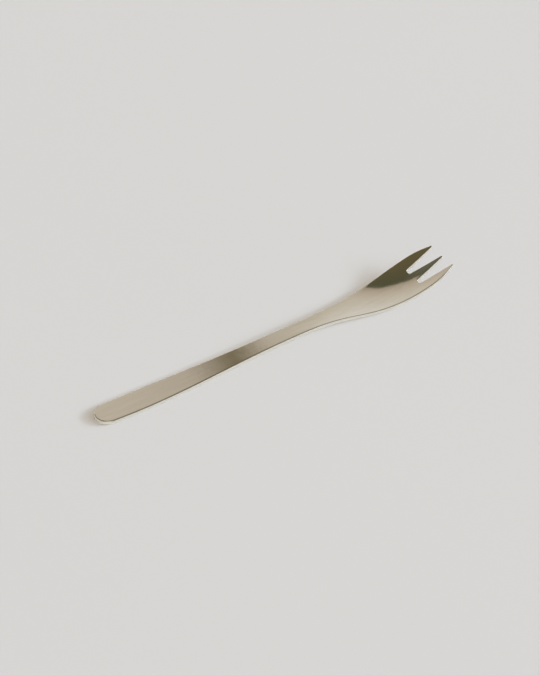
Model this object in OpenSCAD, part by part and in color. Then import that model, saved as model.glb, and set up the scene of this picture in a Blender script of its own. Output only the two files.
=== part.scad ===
// Cake fork, cut from one blank of steel sheet with two slots, then pressed to a shallow curve.
// It lies on its back: +X points to the tine tips, +Y to its left side and +Z up.
// The origin is at the bottom centre of the fork's box.
// Along the fork, s is the distance from the handle's end, so x = s - fork_len / 2.

/* [Overall] */
// Length from the handle's end to the tine tips
fork_len = 150; // [140:1:170]
// Radius that rounds off the sheet's outer edges
rim_r = 0.55; // [0.3:0.05:0.6]
// Radius that rounds off the edges of the slots
slot_rim_r = 0.2; // [0.1:0.05:0.3]
// Radius that rounds off the outer edges of the tines at their tips
tine_rim_r = 0.35; // [0.2:0.05:0.5]

/* [Outline of the handle] */
// Width of the handle's sides carried on to its very end, before the end is rounded
handle_end_w = 9.6; // [7:0.1:12]
// Length of the rounding at the handle's end
handle_round_len = 5.2; // [4:0.1:8]
// How square the rounded end is: 2 is an ellipse
handle_round_power = 2.1; // [1.8:0.1:3]
// Width of the handle at its broadest
handle_w = 10.15; // [8:0.05:13]
// Distance from the handle's end to its broadest place
handle_broad_at = 13; // [10:0.5:20]
// Width halfway down the handle's taper
taper_w = 8.2; // [6.4:0.05:9.5]
// Distance from the handle's end to halfway down its taper
taper_at = 48; // [35:1:60]
// Width of the neck at its narrowest
neck_w = 6.55; // [5:0.05:7.5]
// Distance from the narrowest part of the neck to the tips
neck_to_tips = 70; // [66:0.5:74]

/* [Outline of the head] */
// Width of the throat, where the neck begins to open out
throat_w = 8.4; // [7:0.05:10]
// Distance from the throat to the tips
throat_to_tips = 50; // [46:0.5:54]
// Width of the shoulders, halfway out to the head's broadest place
shoulder_w = 15.2; // [12:0.05:18]
// Distance from the shoulders to the tips
shoulder_to_tips = 31.5; // [29:0.5:36]
// Width of the head at its broadest
head_w = 18.8; // [16:0.05:22]
// Distance from the head's broadest place to the tips
head_broad_to_tips = 14; // [12:0.5:18]
// Width across the outer tines where they turn in to their tips
tine_w = 16.95; // [14:0.05:20]
// Distance from that turn to the tips
tine_to_tips = 4.5; // [3.5:0.5:7]

/* [Slots and tines] */
// Distance from the bottom of the slots to the tips
slot_len = 13.6; // [10:0.1:18]
// Width of each slot at its round bottom
slot_root_w = 2.4; // [1.5:0.05:3]
// Distance between the two slots, centre to centre, at their round bottoms
slot_pitch = 6.8; // [6:0.05:8]
// Width of each tine at its round tip
tip_w = 0.9; // [0.5:0.05:1.4]
// Distance between the tips of the two outer tines, centre to centre
tip_spread = 13.4; // [11:0.1:15]

/* [Side view] */
// Height of the underside at the handle's end
end_lift = 0.35; // [0:0.05:2]
// Distance from the handle's end to where the handle rests on the table
handle_rest_at = 23; // [16:0.5:30]
// Height of the underside where the handle rises to the neck
rise_h = 1.15; // [0.4:0.05:1.6]
// Distance from the handle's end to that rise
rise_at = 60; // [50:0.5:68]
// Height of the underside at the top of the neck's arch
arch_h = 1.85; // [1:0.05:4]
// Distance from the top of the arch to the tips
arch_to_tips = 63; // [58:0.5:66]
// Height of the underside where the neck drops to the head
drop_h = 1.2; // [0.6:0.05:2]
// Distance from that drop to the tips
drop_to_tips = 49; // [45:0.5:52]
// Distance from where the head rests on the table to the tips
head_rest_to_tips = 34.5; // [32:0.5:38]
// Height of the underside where the head bends up to the tines
bend_h = 2.4; // [1.5:0.05:4]
// Distance from that bend to the tips
bend_to_tips = 17; // [14:0.5:20]
// Height of the underside at the tips
tip_h = 8.2; // [5:0.1:12]

/* [Thickness and dish] */
// Thickness of the handle
handle_t = 1.65; // [1.2:0.05:2.5]
// Thickness of the head where it rests on the table
head_t = 1.6; // [1:0.05:2]
// Thickness of the tines at their tips
tip_t = 1.25; // [0.6:0.05:1.6]
// Depth of the hollow across the throat
throat_dish = 0.5; // [0:0.05:0.8]
// Depth of the hollow across the head at the bottom of its slots
head_dish = 1.25; // [0.4:0.05:2]
// Depth of the hollow across the tips
tip_dish = 0.6; // [0:0.05:0.6]

/* [Hidden] */

// How finely each stretch of the fork is divided along its length
end_steps = 7;
body_step = 3;
root_steps = 4;
tine_steps = 9;
tip_steps = 4;

// Where named places lie, as distances from the handle's end
neck_at = fork_len - neck_to_tips;
throat_at = fork_len - throat_to_tips;
head_rest_at = fork_len - head_rest_to_tips;
head_broad_at = fork_len - head_broad_to_tips;
slot_r = slot_root_w / 2;
slot_y = slot_pitch / 2;
root_start = fork_len - slot_len;
root_at = root_start + slot_r;
tip_r = tip_w / 2;
tip_y = tip_spread / 2;
tip_base = fork_len - tip_r;

// Natural cubic splines through named places, each place as [distance, value]
outline = spline([
    [0, handle_end_w / 2],
    [handle_broad_at, handle_w / 2],
    [taper_at, taper_w / 2],
    [neck_at, neck_w / 2],
    [throat_at, throat_w / 2],
    [fork_len - shoulder_to_tips, shoulder_w / 2],
    [head_broad_at, head_w / 2],
    [fork_len - tine_to_tips, tine_w / 2],
    [tip_base, tip_y + tip_r],
]);
underside = spline([
    [0, end_lift],
    [handle_rest_at, 0],
    [rise_at, rise_h],
    [fork_len - arch_to_tips, arch_h],
    [fork_len - drop_to_tips, drop_h],
    [head_rest_at, 0],
    [fork_len - bend_to_tips, bend_h],
    [fork_len, tip_h],
]);
thickness = spline([
    [0, handle_t],
    [neck_at, handle_t],
    [head_rest_at, head_t],
    [fork_len, tip_t],
]);
hollow = spline([
    [neck_at, 0],
    [throat_at, throat_dish],
    [root_at, head_dish],
    [fork_len, tip_dish],
]);

// Elimination row i of the spline's equations: bend i is row[1] - row[0] * bend i + 1
function spline_row(h, g, i) =
    i == 0 ? [0, 0] :
    let (
        before = spline_row(h, g, i - 1),
        pivot = 2 * (h[i - 1] + h[i]) - h[i - 1] * before[0]
    )
    [h[i] / pivot, (6 * (g[i] - g[i - 1]) - h[i - 1] * before[1]) / pivot];

// Second derivative of the spline at its place i, which is zero at both ends
function spline_bend(h, g, i) =
    i == 0 || i == len(h) ? 0 :
    let (r = spline_row(h, g, i))
    r[1] - r[0] * spline_bend(h, g, i + 1);

// A spline as its places, the lengths between them and its second derivatives
function spline(p) =
    let (
        h = [for (i = [0 : len(p) - 2]) p[i + 1][0] - p[i][0]],
        g = [for (i = [0 : len(p) - 2]) (p[i + 1][1] - p[i][1]) / h[i]]
    )
    [p, h, [for (i = [0 : len(p) - 1]) spline_bend(h, g, i)]];

// Value of a spline at the distance s
function spline_at(c, s) =
    let (
        p = c[0],
        i = max([0, for (k = [0 : len(p) - 2]) if (s >= p[k][0]) k]),
        h = c[1][i],
        a = (p[i + 1][0] - s) / h,
        b = 1 - a
    )
    a * p[i][1] + b * p[i + 1][1]
    + ((pow(a, 3) - a) * c[2][i] + (pow(b, 3) - b) * c[2][i + 1]) * h * h / 6;

// Share of the width that is left by the rounding of the handle's end
function end_round(s) =
    s >= handle_round_len ? 1 :
    pow(1 - pow(1 - max(s, 0) / handle_round_len, handle_round_power), 1 / handle_round_power);

// Half the width of the fork's outer outline
function half_w(s) = spline_at(outline, s) * end_round(s);

// Slot walls, as distances from the middle line: towards the outer tine and towards the centre tine
function along_slot(s) = (s - root_at) / (tip_base - root_at);
function outer_wall(s) = slot_y + slot_r + (tip_y - tip_r - slot_y - slot_r) * along_slot(s);
function inner_wall(s) = slot_y - slot_r + (tip_r - slot_y + slot_r) * along_slot(s);

// The three strips of the sheet at s, from right to left, each as [right edge, left edge]
function strips(s) =
    let (w = half_w(s))
    s > tip_base ?
        let (a = sqrt(max(0, tip_r * tip_r - pow(s - tip_base, 2))))
        [for (c = [-tip_y, 0, tip_y]) [c - a, c + a]] :
    let (
        arc = sqrt(max(0, slot_r * slot_r - pow(root_at - s, 2))),
        split = slot_y * w / half_w(root_start),
        out = s < root_start ? split : s < root_at ? slot_y + arc : outer_wall(s),
        in = s < root_start ? split : s < root_at ? slot_y - arc : inner_wall(s)
    )
    [[-w, -out], [-in, in], [out, w]];

// Distance in plan from a point to the outer outline, to the nearer slot and to the round tip of a tine
function outline_gap(s, y) =
    let (
        reach = 0.01,
        w = half_w(s),
        grade = (pow(half_w(s + reach), 2) - pow(half_w(s - reach), 2)) / (4 * reach)
    )
    (w * w - y * y) / (2 * norm([grade, y]));
function slot_gap(s, y) =
    s < root_at
        ? norm([s - root_at, abs(y) - slot_y]) - slot_r
        : max(inner_wall(s) - abs(y), abs(y) - outer_wall(s));
function tip_gap(s, y, strip) = tip_r - norm([s - tip_base, y - (strip - 1) * tip_y]);

// Radius that rounds off the outer edges at s: it changes along the tines
function outer_rim_r(s) =
    rim_r + (tine_rim_r - rim_r) * min(1, max(0, (s - head_broad_at) / (tip_base - head_broad_at)));

// Radius that rounds off the edge of a tine's round tip: round an outer tine it runs from that of the slots
// to that of the outer edges
function tip_rim_r(y, strip) =
    strip == 1 ? slot_rim_r : slot_rim_r + (tine_rim_r - slot_rim_r) * (1 + (abs(y) - tip_y) / tip_r) / 2;

// What an edge rounded to the radius r takes off half the thickness t at a gap from that edge
function rounded_off(t, r, gap) =
    let (
        k = min(r, t / 2),
        inside = max(0, k - max(0, gap))
    )
    k - sqrt(k * k - inside * inside);

// Half the thickness at a point of a strip, less what the rounded edges take off
function half_t(s, y, strip) =
    let (t = spline_at(thickness, s))
    s < tip_base
        ? t / 2 - max(
            rounded_off(t, outer_rim_r(s), outline_gap(s, y)),
            rounded_off(t, slot_rim_r, slot_gap(s, y))
        )
        : t / 2 - rounded_off(t, tip_rim_r(y, strip), tip_gap(s, y, strip));

// Height of the sheet's middle surface
function middle_z(s, y) =
    spline_at(underside, s) + spline_at(thickness, s) / 2
    + (s > neck_at ? spline_at(hollow, s) * pow(y / half_w(s), 2) : 0);

// Distances at which the sheet is cut into columns of points
body_end = root_start - slot_rim_r;
body_steps = ceil((body_end - handle_round_len) / body_step);
stations = [
    for (j = [0 : end_steps - 1]) handle_round_len * (1 - cos(90 * j / end_steps)),
    for (j = [0 : body_steps]) handle_round_len + (body_end - handle_round_len) * j / body_steps,
    root_start - slot_rim_r / 2,
    for (j = [0 : root_steps - 1]) root_start + slot_r * (1 - cos(90 * j / root_steps)),
    for (j = [0 : tine_steps]) root_at + (tip_base - root_at) * j / tine_steps,
    for (j = [1 : tip_steps]) tip_base + tip_r * sin(90 * j / tip_steps),
];
last = len(stations) - 1;
root_column = max([for (i = [0 : last]) if (stations[i] <= root_start) i]);
ground = min([for (s = stations) spline_at(underside, s)]);

// Points across one strip: close together at its edges, where the sheet is rounded
edge_shares = [0, 0.3, 1];
row_len = 2 * len(edge_shares) + 2;
column_len = 3 * row_len;
function across(edges, right_r, left_r) =
    let (
        a = edges[0],
        b = edges[1],
        right_inset = min(right_r, (b - a) / 3),
        left_inset = min(left_r, (b - a) / 3),
        third = (b - a - right_inset - left_inset) / 3
    )
    [
        for (f = edge_shares) a + right_inset * f,
        a + right_inset + third,
        b - left_inset - third,
        for (k = [len(edge_shares) - 1 : -1 : 0]) b - left_inset * edge_shares[k],
    ];

// Radius of a strip's right edge (side -1) or left edge (side +1) at s
function strip_r(s, strip, side) = strip + side < 0 || strip + side > 2 ? outer_rim_r(s) : slot_rim_r;

// Every point of the sheet, as a top point and a bottom point
points = [
    for (s = stations)
        let (edges = strips(s))
        for (strip = [0 : 2])
            for (y = across(edges[strip], strip_r(s, strip, -1), strip_r(s, strip, 1)))
                let (
                    z = middle_z(s, y) - ground,
                    h = half_t(s, y, strip),
                    x = s - fork_len / 2
                )
                for (side = [1, -1]) [x, y, z + side * h]
];

// Number of the point in column i and row k. Rows that meet in one place share one point.
function shared_row(i, k) =
    i == 0 ? 0 :
    i == last ? floor(k / row_len) * row_len :
    i <= root_column && k > 0 && k % row_len == 0 ? k - 1 : k;
function top(i, k) = 2 * (i * column_len + shared_row(i, k));
function bottom(i, k) = top(i, k) + 1;

// A four-sided patch as the triangles that have three different corners
function patch(a, b, c, d) = [
    for (f = [[a, b, c], [a, c, d]])
        if (f[0] != f[1] && f[1] != f[2] && f[2] != f[0]) f
];

// Strip edges that are edges of the sheet at column i, facing right (-1) and left (+1)
function open_edge(i, strip, side) = i >= root_column || strip + side < 0 || strip + side > 2;

faces = [
    for (i = [0 : last - 1])
        for (strip = [0 : 2])
            let (right = strip * row_len, left = right + row_len - 1)
            each [
                for (k = [right : left - 1])
                    each patch(top(i, k), top(i, k + 1), top(i + 1, k + 1), top(i + 1, k)),
                for (k = [right : left - 1])
                    each patch(bottom(i, k), bottom(i + 1, k), bottom(i + 1, k + 1), bottom(i, k + 1)),
                if (open_edge(i, strip, -1))
                    each patch(bottom(i, right), top(i, right), top(i + 1, right), bottom(i + 1, right)),
                if (open_edge(i, strip, 1))
                    each patch(bottom(i, left), bottom(i + 1, left), top(i + 1, left), top(i, left)),
            ]
];

// The whole fork: one piece of steel
module fork() {
    color([0.72, 0.69, 0.62]) polyhedron(points = points, faces = faces, convexity = 6);
}

fork();
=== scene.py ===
# Cake fork in warm satin steel, lying on a pale table by low window light.
# The fork is one piece. Its shape follows the construction model, in finer steps.
# The fork's sizes are in millimetres, and s is the distance along it from the handle's end.
# They become metres, Blender's own unit, where its mesh is made. The stage is in metres.

import math

import bmesh
import bpy
import numpy as np
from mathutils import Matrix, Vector


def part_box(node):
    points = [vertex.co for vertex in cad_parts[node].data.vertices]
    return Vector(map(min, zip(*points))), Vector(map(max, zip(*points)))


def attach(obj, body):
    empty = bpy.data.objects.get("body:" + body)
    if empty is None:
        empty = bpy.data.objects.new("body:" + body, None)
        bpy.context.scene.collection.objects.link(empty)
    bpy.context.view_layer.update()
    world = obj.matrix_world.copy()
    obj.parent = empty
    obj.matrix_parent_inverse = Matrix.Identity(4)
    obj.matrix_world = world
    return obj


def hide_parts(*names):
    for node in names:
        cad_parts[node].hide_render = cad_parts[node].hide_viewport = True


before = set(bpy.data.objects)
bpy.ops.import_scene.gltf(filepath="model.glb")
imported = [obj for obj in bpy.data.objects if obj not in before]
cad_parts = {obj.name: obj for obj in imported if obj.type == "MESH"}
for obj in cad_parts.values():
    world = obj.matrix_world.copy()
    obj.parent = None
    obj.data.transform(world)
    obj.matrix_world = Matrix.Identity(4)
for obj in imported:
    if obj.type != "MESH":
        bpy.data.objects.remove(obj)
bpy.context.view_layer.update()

MM = 0.001
fork_low, fork_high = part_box("fork")

# Sizes of the fork
FORK_LEN = (fork_high.x - fork_low.x) / MM
RIM_R = 0.55
SLOT_RIM_R = 0.2
TINE_RIM_R = 0.35
HANDLE_END_W = 9.6
HANDLE_ROUND_LEN = 5.2
HANDLE_ROUND_POWER = 2.1
HANDLE_W = 10.15
TAPER_W = 8.2
NECK_W = 6.55
THROAT_W = 8.4
SHOULDER_W = 15.2
HEAD_W = 18.8
TINE_W = 16.95
SLOT_ROOT_W = 2.4
SLOT_PITCH = 6.8
TIP_W = 0.9
TIP_SPREAD = 13.4

# Radii of the slots' roots and of the tines' tips, and their distances from the middle line
SLOT_ROOT_R = SLOT_ROOT_W / 2
SLOT_Y = SLOT_PITCH / 2
TIP_R = TIP_W / 2
TIP_Y = TIP_SPREAD / 2
TIP_MIDDLES = (-TIP_Y, 0, TIP_Y)

# Heights of the underside, thicknesses of the sheet and depths of the hollow
END_LIFT = 0.35
RISE_H = 1.15
ARCH_H = 1.85
DROP_H = 1.2
BEND_H = 2.4
TIP_H = 8.2
HANDLE_T = 1.65
HEAD_T = 1.6
TIP_T = 1.25
THROAT_DISH = 0.5
HEAD_DISH = 1.25
TIP_DISH = 0.6

# Places along the fork
HANDLE_BROAD_AT = 13
HANDLE_REST_AT = 23
TAPER_AT = 48
RISE_AT = 60
NECK_AT = FORK_LEN - 70
ARCH_AT = FORK_LEN - 63
THROAT_AT = FORK_LEN - 50
DROP_AT = FORK_LEN - 49
HEAD_REST_AT = FORK_LEN - 34.5
SHOULDER_AT = FORK_LEN - 31.5
BEND_AT = FORK_LEN - 17
HEAD_BROAD_AT = FORK_LEN - 14
ROOT_START = FORK_LEN - 13.6
ROOT_AT = ROOT_START + SLOT_ROOT_R
TINE_AT = FORK_LEN - 4.5
TIP_BASE = FORK_LEN - TIP_R

# How finely the mesh follows each stretch of the fork
END_STEPS = 28
BODY_STEP = 0.75
ROOT_RIM_STEPS = 8
ROOT_STEPS = 18
TINE_STEPS = 60
TIP_STEPS = 8
RIM_STEPS = 6
INNER_STEPS = 8

# How far to each side a slope is measured, and small numbers that keep a divisor off zero
SLOPE_REACH = 0.01
LEAST_SLOPE = 1e-9
LEAST_WIDTH = 1e-6

# In metres: points this close become one, and an edge this short is taken out
SAME_POINT = 1e-7
SHORT_EDGE = 1e-8

# The steel: the scale of each pattern, the span of its noise that is used, and what the pattern changes
LINE_SCALES = (60, 5200, 5200)
LINE_DETAIL = 3
LINE_SPAN = (0.3, 0.7)
LINE_ROUGHNESS = (0.08, 0.1)
LINE_STRENGTH = 0.04
LINE_DEPTH = 0.02 * MM
STREAK_SCALES = (90, 900, 900)
STREAK_DETAIL = 2
STREAK_SPAN = (0.3, 0.7)
STREAK_COLOURS = ((0.722, 0.682, 0.593, 1), (0.758, 0.718, 0.627, 1))
SMEAR_SCALE = 110
SMEAR_DETAIL = 3
SMEAR_SPAN = (0.35, 0.7)
SMEAR_ROUGHNESS = (0, 0.015)
WAVE_SCALE = 300
WAVE_DETAIL = 2
WAVE_DEPTH = 0.022 * MM

# The steel's edges: where on the rounding they set in, 1 being its outermost line, and how they differ.
# Their paler colour is a painted highlight.
EDGE_SPAN = (0.65, 0.88)
EDGE_ROUGHNESS = 0.4
# Painted highlight: a paler colour on the edges that brightens what they mirror
EDGE_HIGHLIGHT_COLOUR = (0.92, 0.90, 0.82, 1)

# The table: its width, its colour, and how faint clouds darken and lighten it
FLOOR_SIZE = 5
FLOOR_COLOUR = (0.692, 0.687, 0.677, 1)
FLOOR_TONES = (0.99, 1.01)
CLOUD_SCALE = 6
CLOUD_DETAIL = 2

# The camera, at the photograph's viewing angle, and the nearest and farthest that it sees
CAMERA_AZIMUTH = math.radians(212.433)
CAMERA_ELEVATION = math.radians(41.592)
CAMERA_DISTANCE = 586.3 * MM
CAMERA_AIM = Vector((-0.153, 4.563, 0)) * MM
CAMERA_VIEW_ANGLE = math.radians(24)
CAMERA_NEAREST = CAMERA_DISTANCE / 100
CAMERA_FARTHEST = 4 * FLOOR_SIZE
SENSOR_SIZE = 36

# The room that the steel mirrors: a pale wall up to a straight edge, and a dark ceiling beyond it.
# Each colour stands at the sine of its angle past that edge. The ceiling is greyer at its far and near
# sides, and the handle's end of the room is pale. All round, the room is pale at the table's height.
ROOM_EDGE = Vector((-0.752, -0.483, 0.448))
ROOM_COLOURS = [
    (-0.64, (0.78, 0.76, 0.745, 1)),
    (-0.26, (0.655, 0.605, 0.54, 1)),
    (-0.14, (0.59, 0.53, 0.465, 1)),
    (-0.02, (0.47, 0.41, 0.33, 1)),
    (0.00, (0.09, 0.096, 0.06, 1)),
    (0.30, (0.145, 0.122, 0.066, 1)),
]
ROOM_SPAN = (-0.65, 0.35)
FAR_CEILING_COLOUR = (0.167, 0.161, 0.126, 1)
FAR_CEILING_SPAN = (0.52, 0.58)
FAR_CEILING_PAST_EDGE = (0.02, 0.08)
NEAR_ROOM_COLOUR = (0.27, 0.25, 0.20, 1)
NEAR_ROOM_SPAN = (-0.05, 0.2)
END_ROOM_COLOUR = (0.5, 0.475, 0.43, 1)
END_ROOM_SPAN = (-0.65, -0.35)
TABLE_HEIGHT_SPAN = (0.02, 0.09)

# Lamps: their direction from the fork, how broad they are, their colour and their strength
WINDOW_AZIMUTH = math.radians(120)
WINDOW_ELEVATION = math.radians(20)
WINDOW_DISTANCE = 10
WINDOW_SIZE = (5.0, 1.75)
WINDOW_COLOUR = (0.70, 0.83, 1.0)
WINDOW_STRENGTH = 740
FILL_AZIMUTH = math.radians(205)
FILL_ELEVATION = math.radians(40)
FILL_WIDTH = math.radians(35)
FILL_COLOUR = (1.0, 0.899, 0.767)
FILL_STRENGTH = 3.22
SOFT_AZIMUTH = math.radians(135)
SOFT_ELEVATION = math.radians(35)
SOFT_WIDTH = math.radians(40)
SOFT_STRENGTH = 1.2

# The lit wall that the fill comes from, as the steel mirrors it: from its soft outside to its full colour
LIT_WALL_COLOUR = (1.1, 1.05, 0.92, 1)
LIT_WALL_SPAN = (math.cos(math.radians(27)), math.cos(math.radians(16)))

# A soft dark bar, level above the fork and across it, that the middle of the handle mirrors.
# Its depths are its shares of darkness from its long edges, at 0, to its middle, at 1.
BAR_AT = Vector((11.4, 32, 84.4)) * MM
BAR_HALF_WIDTH = 67 * MM
BAR_HALF_LENGTH = 132 * MM
BAR_TURN = math.radians(-8.4)
BAR_SOFT_END = 0.7
BAR_COLOUR = (0.1, 0.075, 0.015, 1)
BAR_DEPTHS = [(0, 0), (0.4, 0.06), (0.7, 0.13), (0.76, 0.22), (1, 0.8)]

# Places of the colour sockets of Blender's mix node
MIX_FIRST = 6
MIX_SECOND = 7
MIX_RESULT = 2


def spline(places):
    """Natural cubic spline through places (distance, value), as a function of the distance."""
    at, value = np.array(places, float).T
    step = np.diff(at)
    rise = np.diff(value) / step
    system = np.eye(len(at))
    wanted = np.zeros(len(at))
    for i in range(1, len(at) - 1):
        system[i, i - 1:i + 2] = step[i - 1], 2 * (step[i - 1] + step[i]), step[i]
        wanted[i] = 6 * (rise[i] - rise[i - 1])
    bend = np.linalg.solve(system, wanted)

    def value_at(s):
        i = np.clip(np.searchsorted(at, s, side="right") - 1, 0, len(step) - 1)
        a = (at[i + 1] - s) / step[i]
        b = 1 - a
        curve = (a**3 - a) * bend[i] + (b**3 - b) * bend[i + 1]
        return a * value[i] + b * value[i + 1] + curve * step[i] ** 2 / 6

    return value_at


outline = spline([
    (0, HANDLE_END_W / 2),
    (HANDLE_BROAD_AT, HANDLE_W / 2),
    (TAPER_AT, TAPER_W / 2),
    (NECK_AT, NECK_W / 2),
    (THROAT_AT, THROAT_W / 2),
    (SHOULDER_AT, SHOULDER_W / 2),
    (HEAD_BROAD_AT, HEAD_W / 2),
    (TINE_AT, TINE_W / 2),
    (TIP_BASE, TIP_Y + TIP_R),
])
underside = spline([
    (0, END_LIFT),
    (HANDLE_REST_AT, 0),
    (RISE_AT, RISE_H),
    (ARCH_AT, ARCH_H),
    (DROP_AT, DROP_H),
    (HEAD_REST_AT, 0),
    (BEND_AT, BEND_H),
    (FORK_LEN, TIP_H),
])
thickness = spline([
    (0, HANDLE_T),
    (NECK_AT, HANDLE_T),
    (HEAD_REST_AT, HEAD_T),
    (FORK_LEN, TIP_T),
])
hollow = spline([
    (NECK_AT, 0),
    (THROAT_AT, THROAT_DISH),
    (ROOT_AT, HEAD_DISH),
    (FORK_LEN, TIP_DISH),
])


def half_width(s):
    """Half the width of the outer outline, with the handle's end rounded."""
    left = np.clip(1 - np.maximum(s, 0) / HANDLE_ROUND_LEN, 0, 1)
    return outline(s) * (1 - left**HANDLE_ROUND_POWER) ** (1 / HANDLE_ROUND_POWER)


def slot_walls(s):
    """Distances of a slot's two walls from the middle line: the inner one and the outer one."""
    along = (s - ROOT_AT) / (TIP_BASE - ROOT_AT)
    inner = SLOT_Y - SLOT_ROOT_R + (TIP_R - SLOT_Y + SLOT_ROOT_R) * along
    outer = SLOT_Y + SLOT_ROOT_R + (TIP_Y - TIP_R - SLOT_Y - SLOT_ROOT_R) * along
    return inner, outer


def strip_edges(s):
    """Right and left edges of the sheet's three strips at one place. Past the slots they are the tines."""
    if s > TIP_BASE:
        half = math.sqrt(max(0, TIP_R**2 - (s - TIP_BASE) ** 2))
        return [(middle - half, middle + half) for middle in TIP_MIDDLES]
    width = half_width(s)
    if s < ROOT_START:
        inner = outer = SLOT_Y * width / half_width(ROOT_START)
    elif s < ROOT_AT:
        arc = math.sqrt(max(0, SLOT_ROOT_R**2 - (ROOT_AT - s) ** 2))
        inner, outer = SLOT_Y - arc, SLOT_Y + arc
    else:
        inner, outer = slot_walls(s)
    return [(-width, -outer), (-inner, inner), (outer, width)]


def outer_rim(s):
    """Radius of the rounded outer edges, which lessens along the tines."""
    along = np.clip((s - HEAD_BROAD_AT) / (TIP_BASE - HEAD_BROAD_AT), 0, 1)
    return RIM_R + (TINE_RIM_R - RIM_R) * along


def rows_across(right, left, right_r, left_r):
    """Places across one strip, close together where its edges are rounded."""
    third = (left - right) / 3
    rim = 1 - np.cos(np.linspace(0, math.pi / 2, RIM_STEPS + 1))
    right_rim = right + min(right_r, third) * rim
    left_rim = left - min(left_r, third) * rim
    inner = np.linspace(right_rim[-1], left_rim[-1], INNER_STEPS + 1)[1:-1]
    return np.concatenate([right_rim, inner, left_rim[::-1]])


def column(s):
    """Places across the three strips at one place along the fork."""
    outer = outer_rim(s)
    radii = [(outer, SLOT_RIM_R), (SLOT_RIM_R, SLOT_RIM_R), (SLOT_RIM_R, outer)]
    return [rows_across(*edges, *rims) for edges, rims in zip(strip_edges(s), radii)]


def edge_gaps(s, y, tip_y):
    """Distances in plan from points to the outer outline, to the nearer slot and to a tine's round tip."""
    width = half_width(s)
    ahead, behind = half_width(s + SLOPE_REACH), half_width(s - SLOPE_REACH)
    grade = (ahead**2 - behind**2) / (4 * SLOPE_REACH)
    to_outline = (width**2 - y**2) / (2 * np.hypot(grade, y) + LEAST_SLOPE)
    inner, outer = slot_walls(s)
    to_root = np.hypot(s - ROOT_AT, np.abs(y) - SLOT_Y) - SLOT_ROOT_R
    to_wall = np.maximum(inner - np.abs(y), np.abs(y) - outer)
    to_slot = np.where(s < ROOT_AT, to_root, to_wall)
    to_tip = TIP_R - np.hypot(s - TIP_BASE, y - tip_y)
    return to_outline, to_slot, to_tip


def half_thickness(s, y, tip_y):
    """Half the thickness that the rounded edges leave, and how near each point is to an edge, 0 to 1."""
    full = thickness(s) / 2

    def rounded_off(gap, radius):
        radius = np.minimum(radius, full)
        inside = np.maximum(0, radius - np.maximum(0, gap))
        return radius - np.sqrt(radius**2 - inside**2), inside / radius

    to_outline, to_slot, to_tip = edge_gaps(s, y, tip_y)
    outwards = np.where(tip_y == 0, 0, np.clip((1 + (np.abs(y) - TIP_Y) / TIP_R) / 2, 0, 1))
    outline_off, by_outline = rounded_off(to_outline, outer_rim(s))
    slot_off, by_slot = rounded_off(to_slot, SLOT_RIM_R)
    tip_off, by_tip = rounded_off(to_tip, SLOT_RIM_R + (TINE_RIM_R - SLOT_RIM_R) * outwards)
    before_tip = s < TIP_BASE
    taken_off = np.where(before_tip, np.maximum(outline_off, slot_off), tip_off)
    near_edge = np.where(before_tip, np.maximum(by_outline, by_slot), by_tip)
    return full - taken_off, near_edge


def middle_height(s, y):
    """Height of the sheet's middle surface, which is hollow across the head."""
    share = y / np.maximum(half_width(s), LEAST_WIDTH)
    return underside(s) + thickness(s) / 2 + np.where(s > NECK_AT, hollow(s) * share**2, 0)


def stations():
    """Places along the fork where the mesh has a column of points."""
    quarter = math.pi / 2
    body_end = ROOT_START - SLOT_RIM_R
    body_steps = math.ceil((body_end - HANDLE_ROUND_LEN) / BODY_STEP)
    return np.concatenate([
        HANDLE_ROUND_LEN * (1 - np.cos(np.linspace(0, quarter, END_STEPS + 1)))[:-1],
        np.linspace(HANDLE_ROUND_LEN, body_end, body_steps + 1)[:-1],
        ROOT_START - SLOT_RIM_R * np.cos(np.linspace(0, quarter, ROOT_RIM_STEPS + 1))[:-1],
        ROOT_START + SLOT_ROOT_R * (1 - np.cos(np.linspace(0, quarter, ROOT_STEPS + 1)))[:-1],
        np.linspace(ROOT_AT, TIP_BASE, TINE_STEPS + 1)[:-1],
        TIP_BASE + TIP_R * np.sin(np.linspace(0, quarter, TIP_STEPS + 1)),
    ])


def fork_points():
    """The columns' places, the points of the top and the bottom, and how near each point is to an edge.

    The points are in metres, as an array [side, column, strip, row, axis], and fill the fork's box.
    """
    at = stations()
    y = np.array([column(s) for s in at])
    s = np.broadcast_to(at[:, None, None], y.shape)
    tip_y = np.broadcast_to(np.array(TIP_MIDDLES)[None, :, None], y.shape)
    half, near_edge = half_thickness(s, y, tip_y)
    middle = middle_height(s, y)
    x = fork_low.x / MM + s
    points = np.stack([np.stack([x, y, middle + side * half], -1) for side in (1, -1)]) * MM
    points[..., 1] *= fork_high.y / points[..., 1].max()
    points[..., 2] += fork_high.z - points[..., 2].max()
    points[..., 2] = np.maximum(points[..., 2], fork_low.z)
    return at, points, np.stack([near_edge] * 2)


def fork_faces(at, shape):
    """Four-sided faces of the top, the bottom and the edges, as numbers of points."""
    number = np.arange(np.prod(shape)).reshape(shape)
    top, bottom = number
    root_column = int(np.searchsorted(at, ROOT_START))
    last_strip = top.shape[1] - 1
    faces = []

    def add(a, b, c, d):
        faces.append(np.stack([a, b, c, d], -1).reshape(-1, 4))

    add(top[:-1, :, :-1], top[1:, :, :-1], top[1:, :, 1:], top[:-1, :, 1:])
    add(bottom[:-1, :, :-1], bottom[:-1, :, 1:], bottom[1:, :, 1:], bottom[1:, :, :-1])
    for strip in range(last_strip + 1):
        right_from = 0 if strip == 0 else root_column
        left_from = 0 if strip == last_strip else root_column
        t, b = top[right_from:, strip, 0], bottom[right_from:, strip, 0]
        add(t[:-1], b[:-1], b[1:], t[1:])
        t, b = top[left_from:, strip, -1], bottom[left_from:, strip, -1]
        add(t[:-1], t[1:], b[1:], b[:-1])
    return np.concatenate(faces)


def add_object(name, content):
    """A new object in the scene that holds a mesh, a lamp or a camera."""
    made = bpy.data.objects.new(name, content)
    bpy.context.scene.collection.objects.link(made)
    return made


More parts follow.
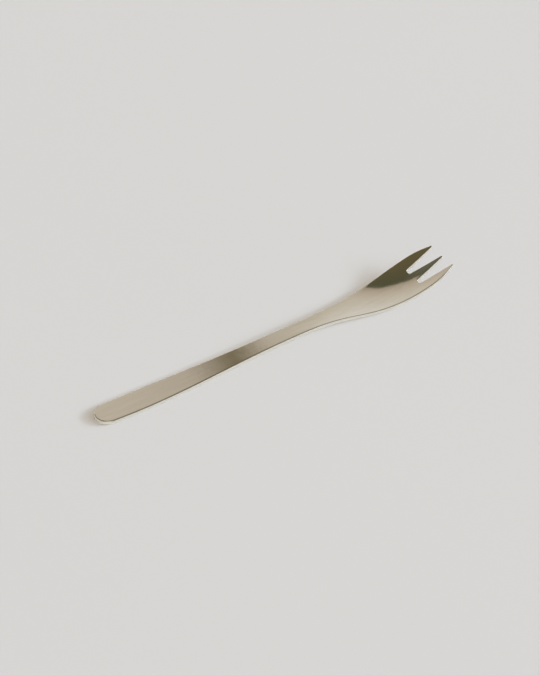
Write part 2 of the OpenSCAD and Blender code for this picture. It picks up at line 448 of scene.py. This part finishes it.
def make_fork(material):
    """The fork as one smooth closed mesh in place of its plain solid."""
    at, points, near_edge = fork_points()
    faces = fork_faces(at, points.shape[:-1])
    mesh = bpy.data.meshes.new("fork_steel")
    mesh.from_pydata(points.reshape(-1, 3).tolist(), [], faces.tolist())
    rim = mesh.attributes.new("rim", "FLOAT", "POINT")
    rim.data.foreach_set("value", near_edge.ravel().astype(np.float32))
    work = bmesh.new()
    work.from_mesh(mesh)
    bmesh.ops.remove_doubles(work, verts=work.verts, dist=SAME_POINT)
    bmesh.ops.dissolve_degenerate(work, edges=work.edges, dist=SHORT_EDGE)
    bmesh.ops.recalc_face_normals(work, faces=work.faces)
    work.to_mesh(mesh)
    work.free()
    mesh.shade_smooth()
    mesh.materials.append(material)
    piece = add_object("fork_steel", mesh)
    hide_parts("fork")
    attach(piece, "root")


def square_mesh(name, half, material):
    """A level square sheet of this half width and material."""
    mesh = bpy.data.meshes.new(name)
    corners = [(-half, -half, 0), (half, -half, 0), (half, half, 0), (-half, half, 0)]
    mesh.from_pydata(corners, [], [(0, 1, 2, 3)])
    mesh.materials.append(material)
    return mesh


def empty_material(name):
    """A new material with no nodes in it, and its node tree."""
    material = bpy.data.materials.new(name)
    material.use_nodes = True
    material.node_tree.nodes.clear()
    return material, material.node_tree


def add_node(tree, kind, inputs=None, **settings):
    """A node with its settings, and with each of these inputs set to a value or linked to a socket."""
    made = tree.nodes.new(kind)
    for name, value in settings.items():
        setattr(made, name, value)
    for name, value in (inputs or {}).items():
        if isinstance(value, bpy.types.NodeSocket):
            tree.links.new(value, made.inputs[name])
        else:
            made.inputs[name].default_value = value
    return made


def calculate(tree, operation, *values):
    """Socket with the result of a calculation on one or two sockets."""
    made = add_node(tree, "ShaderNodeMath", dict(enumerate(values)), operation=operation)
    return made.outputs[0]


def dot_product(tree, vector, axis):
    """Socket with the dot product of a vector socket and an axis."""
    made = add_node(tree, "ShaderNodeVectorMath", {0: vector, 1: axis}, operation="DOT_PRODUCT")
    return made.outputs["Value"]


def map_range(tree, value, span, goal=(0, 1)):
    """Socket that runs over the goal while a value runs over its span, and stays at its ends beyond."""
    made = add_node(tree, "ShaderNodeMapRange", {
        "Value": value, "From Min": span[0], "From Max": span[1], "To Min": goal[0], "To Max": goal[1]})
    return made.outputs[0]


def mix_colours(tree, share, first, second):
    """Socket with the first colour where the share is 0 and the second where it is 1."""
    made = add_node(tree, "ShaderNodeMix", {"Factor": share, MIX_FIRST: first, MIX_SECOND: second},
                    data_type="RGBA")
    return made.outputs[MIX_RESULT]


def colour_ramp(tree, place, stops):
    """Socket with the colour of a ramp through stops (position, colour), which are in order."""
    ramp = add_node(tree, "ShaderNodeValToRGB", {"Fac": place})
    elements = ramp.color_ramp.elements
    while len(elements) < len(stops):
        elements.new(1.0)
    for element, (position, colour) in zip(elements, stops):
        element.position = position
        element.color = colour
    return ramp.outputs[0]


def noise(tree, place, scale, detail):
    """Socket with a cloudy pattern."""
    made = add_node(tree, "ShaderNodeTexNoise", {"Vector": place, "Scale": scale, "Detail": detail})
    return made.outputs[0]


def stretched_noise(tree, place, scales, detail):
    """Socket with a cloudy pattern that has a scale of its own along each axis."""
    scaled = add_node(tree, "ShaderNodeMapping", {"Vector": place, "Scale": scales})
    return noise(tree, scaled.outputs[0], 1, detail)


def steel_material():
    """Warm satin steel: fine lines along the fork, faint waves and smears, and rougher edges with a
    painted highlight as a paler colour.
    """
    material, tree = empty_material("satin_steel")
    place = add_node(tree, "ShaderNodeTexCoord").outputs["Object"]
    lines = stretched_noise(tree, place, LINE_SCALES, LINE_DETAIL)
    streaks = stretched_noise(tree, place, STREAK_SCALES, STREAK_DETAIL)
    smears = noise(tree, place, SMEAR_SCALE, SMEAR_DETAIL)
    waves = noise(tree, place, WAVE_SCALE, WAVE_DETAIL)
    rim = add_node(tree, "ShaderNodeAttribute", attribute_name="rim").outputs["Fac"]
    edge_roughness_and_highlight_share = map_range(tree, rim, EDGE_SPAN)

    line_rough = map_range(tree, lines, LINE_SPAN, LINE_ROUGHNESS)
    smear_rough = map_range(tree, smears, SMEAR_SPAN, SMEAR_ROUGHNESS)
    flat_rough = calculate(tree, "ADD", line_rough, smear_rough)
    rough = add_node(tree, "ShaderNodeMix", {"Factor": edge_roughness_and_highlight_share, "A": flat_rough, "B": EDGE_ROUGHNESS},
                     data_type="FLOAT")

    flat_colour = mix_colours(tree, map_range(tree, streaks, STREAK_SPAN), *STREAK_COLOURS)
    # The edges take a paler colour, a painted highlight
    colour = mix_colours(tree, edge_roughness_and_highlight_share, flat_colour, EDGE_HIGHLIGHT_COLOUR)

    wavy = add_node(tree, "ShaderNodeBump", {"Strength": 1, "Distance": WAVE_DEPTH, "Height": waves})
    bump = add_node(tree, "ShaderNodeBump", {
        "Strength": LINE_STRENGTH, "Distance": LINE_DEPTH, "Height": lines, "Normal": wavy.outputs[0]})
    shader = add_node(tree, "ShaderNodeBsdfPrincipled", {
        "Base Color": colour, "Metallic": 1, "Roughness": rough.outputs[0], "Normal": bump.outputs[0]})
    add_node(tree, "ShaderNodeOutputMaterial", {"Surface": shader.outputs[0]})
    return material


def make_floor():
    """A plain pale table top."""
    material, tree = empty_material("pale_table")
    place = add_node(tree, "ShaderNodeTexCoord").outputs["Object"]
    clouds = noise(tree, place, CLOUD_SCALE, CLOUD_DETAIL)
    darker, paler = [(*(tone * c for c in FLOOR_COLOUR[:3]), 1) for tone in FLOOR_TONES]
    shader = add_node(tree, "ShaderNodeBsdfDiffuse", {"Color": mix_colours(tree, clouds, darker, paler)})
    add_node(tree, "ShaderNodeOutputMaterial", {"Surface": shader.outputs[0]})
    floor = add_object("table_top", square_mesh("table_top", FLOOR_SIZE / 2, material))


def make_bar():
    """A level bar, dark along its middle and clear at its edges, seen only in the steel."""
    material, tree = empty_material("dark_bar")
    place = add_node(tree, "ShaderNodeTexCoord").outputs["Object"]
    axes = add_node(tree, "ShaderNodeSeparateXYZ", {0: place})
    aside = calculate(tree, "ABSOLUTE", axes.outputs["X"])
    along = calculate(tree, "ABSOLUTE", axes.outputs["Y"])
    depth_stops = [(at, (value, value, value, 1)) for at, value in BAR_DEPTHS]
    depth = colour_ramp(tree, map_range(tree, aside, (1, 0)), depth_stops)
    end_fade = map_range(tree, along, (1, BAR_SOFT_END))
    share = calculate(tree, "MULTIPLY", depth, end_fade)
    clear = add_node(tree, "ShaderNodeBsdfTransparent")
    dark = add_node(tree, "ShaderNodeEmission", {"Color": BAR_COLOUR})
    mixed = add_node(tree, "ShaderNodeMixShader", {0: share, 1: clear.outputs[0], 2: dark.outputs[0]})
    add_node(tree, "ShaderNodeOutputMaterial", {"Surface": mixed.outputs[0]})
    bar = add_object("dark_bar", square_mesh("dark_bar", 1, material))
    bar.location = BAR_AT
    bar.scale = (BAR_HALF_WIDTH, BAR_HALF_LENGTH, 1)
    bar.rotation_euler = (0, 0, BAR_TURN)
    bar.visible_camera = False
    bar.visible_diffuse = False
    bar.visible_shadow = False


def direction(azimuth, elevation):
    """Direction at an azimuth, counted from +Y towards +X, and an elevation."""
    level = math.cos(elevation)
    return Vector((math.sin(azimuth) * level, math.cos(azimuth) * level, math.sin(elevation)))


def make_world():
    """The room that the steel mirrors. The lamps alone light the table."""
    world = bpy.data.worlds.new("room")
    bpy.context.scene.world = world
    world.use_nodes = True
    tree = world.node_tree
    tree.nodes.clear()
    towards = add_node(tree, "ShaderNodeTexCoord").outputs["Generated"]
    axes = add_node(tree, "ShaderNodeSeparateXYZ", {0: towards})
    across = axes.outputs["Y"]
    past_edge = dot_product(tree, towards, ROOM_EDGE)

    low, high = ROOM_SPAN
    stops = [((at - low) / (high - low), colour) for at, colour in ROOM_COLOURS]
    room = colour_ramp(tree, map_range(tree, past_edge, ROOM_SPAN), stops)
    far_side = map_range(tree, across, FAR_CEILING_SPAN)
    well_past = map_range(tree, past_edge, FAR_CEILING_PAST_EDGE)
    room = mix_colours(tree, calculate(tree, "MULTIPLY", far_side, well_past), room, FAR_CEILING_COLOUR)
    room = mix_colours(tree, map_range(tree, across, NEAR_ROOM_SPAN), NEAR_ROOM_COLOUR, room)
    room = mix_colours(tree, map_range(tree, axes.outputs["X"], END_ROOM_SPAN), END_ROOM_COLOUR, room)
    to_lit_wall = dot_product(tree, towards, direction(FILL_AZIMUTH, FILL_ELEVATION))
    room = mix_colours(tree, map_range(tree, to_lit_wall, LIT_WALL_SPAN), room, LIT_WALL_COLOUR)
    room = mix_colours(tree, map_range(tree, axes.outputs["Z"], TABLE_HEIGHT_SPAN), FLOOR_COLOUR, room)

    shader = add_node(tree, "ShaderNodeBackground", {"Color": room})
    add_node(tree, "ShaderNodeOutputWorld", {"Surface": shader.outputs[0]})
    world.cycles_visibility.diffuse = False


def make_lamp(name, kind, towards, colour, strength):
    """A lamp that shines from the given direction."""
    lamp = bpy.data.lights.new(name, kind)
    lamp.color = colour
    lamp.energy = strength
    holder = add_object(name, lamp)
    holder.rotation_euler = towards.to_track_quat("Z", "Y").to_euler()
    return holder


def make_sun(name, towards, width, colour, strength):
    """A lamp as far off as the sun, of this angular width, that the steel doesn't mirror."""
    sun = make_lamp(name, "SUN", towards, colour, strength)
    sun.data.angle = width
    sun.visible_glossy = False
    return sun


def make_lamps():
    """A low cool window beyond the tines, warm light from the near side, and soft cool light."""
    window_from = direction(WINDOW_AZIMUTH, WINDOW_ELEVATION)
    window = make_lamp("window_light", "AREA", window_from, WINDOW_COLOUR, WINDOW_STRENGTH)
    window.location = window_from * WINDOW_DISTANCE
    window.data.shape = "RECTANGLE"
    window.data.size, window.data.size_y = WINDOW_SIZE
    fill_from = direction(FILL_AZIMUTH, FILL_ELEVATION)
    fill = make_sun("fill_light", fill_from, FILL_WIDTH, FILL_COLOUR, FILL_STRENGTH)
    fill.data.use_shadow = False
    soft_from = direction(SOFT_AZIMUTH, SOFT_ELEVATION)
    make_sun("soft_light", soft_from, SOFT_WIDTH, WINDOW_COLOUR, SOFT_STRENGTH)


def make_camera():
    """The camera at the photograph's place."""
    camera = bpy.data.cameras.new("camera")
    camera.sensor_width = SENSOR_SIZE
    camera.lens = SENSOR_SIZE / 2 / math.tan(CAMERA_VIEW_ANGLE / 2)
    camera.clip_start = CAMERA_NEAREST
    camera.clip_end = CAMERA_FARTHEST
    back = direction(CAMERA_AZIMUTH, CAMERA_ELEVATION)
    holder = add_object("camera", camera)
    holder.location = CAMERA_AIM + back * CAMERA_DISTANCE
    holder.rotation_euler = back.to_track_quat("Z", "Y").to_euler()
    bpy.context.scene.camera = holder


make_camera()
make_fork(steel_material())
make_floor()
make_bar()
make_world()
make_lamps()
bpy.context.scene.view_settings.view_transform = "Standard"
bpy.context.scene.cycles.caustics_reflective = False
